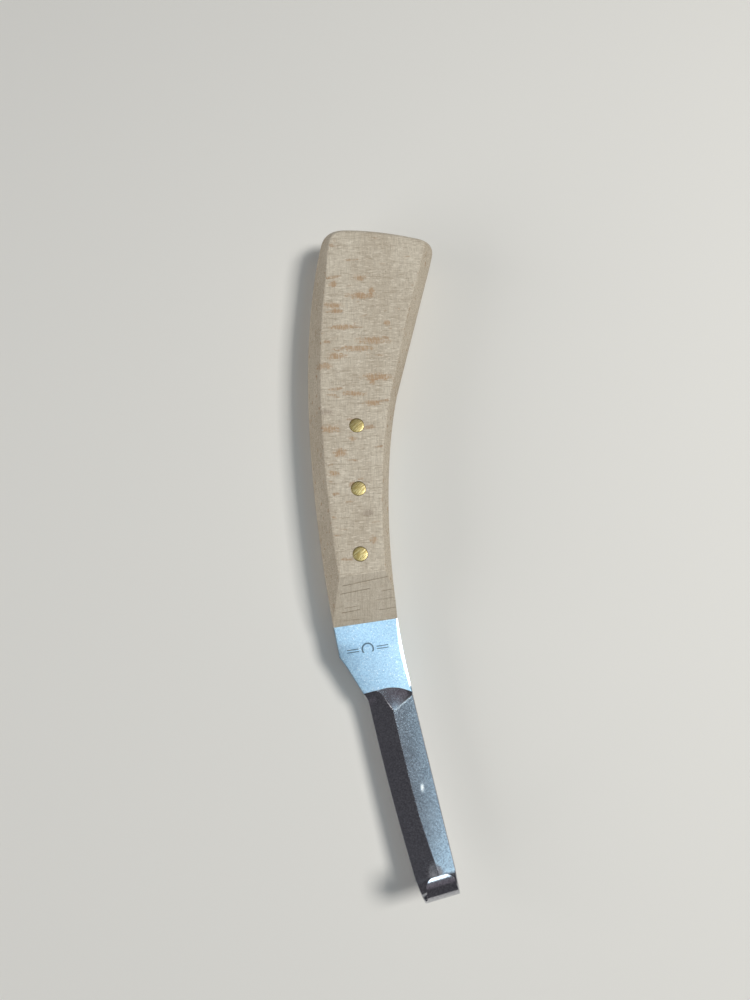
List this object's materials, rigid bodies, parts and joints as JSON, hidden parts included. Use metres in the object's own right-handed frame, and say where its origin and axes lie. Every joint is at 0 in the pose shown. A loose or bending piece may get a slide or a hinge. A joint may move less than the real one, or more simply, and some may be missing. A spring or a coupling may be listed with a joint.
{
  "type": "hoof knife",
  "caption": "Hoof knife with a bevelled beech handle and a slim ground steel blade that ends in a curled hook, for trimming a horse's hoof.",
  "frame": {"origin": "middle of the knife's footprint, on the surface that it lies on", "axes": "+Y along the handle from the hook to the butt, +Z out of the handle's front face towards the side that the hook curls to, +X towards the handle's hollow side"},
  "size_m": [0.046, 0.2268, 0.0215],
  "materials": {
    "handle_wood": "planed and sanded, untreated",
    "blade_steel": "satin, ground facets",
    "rivet_brass": "sanded flush with the wood"
  },
  "bodies": {
    "root": {"handle": "handle_wood", "blade": "blade_steel", "rivet_front": "rivet_brass", "rivet_middle": "rivet_brass", "rivet_rear": "rivet_brass"}
  },
  "joints": []
}
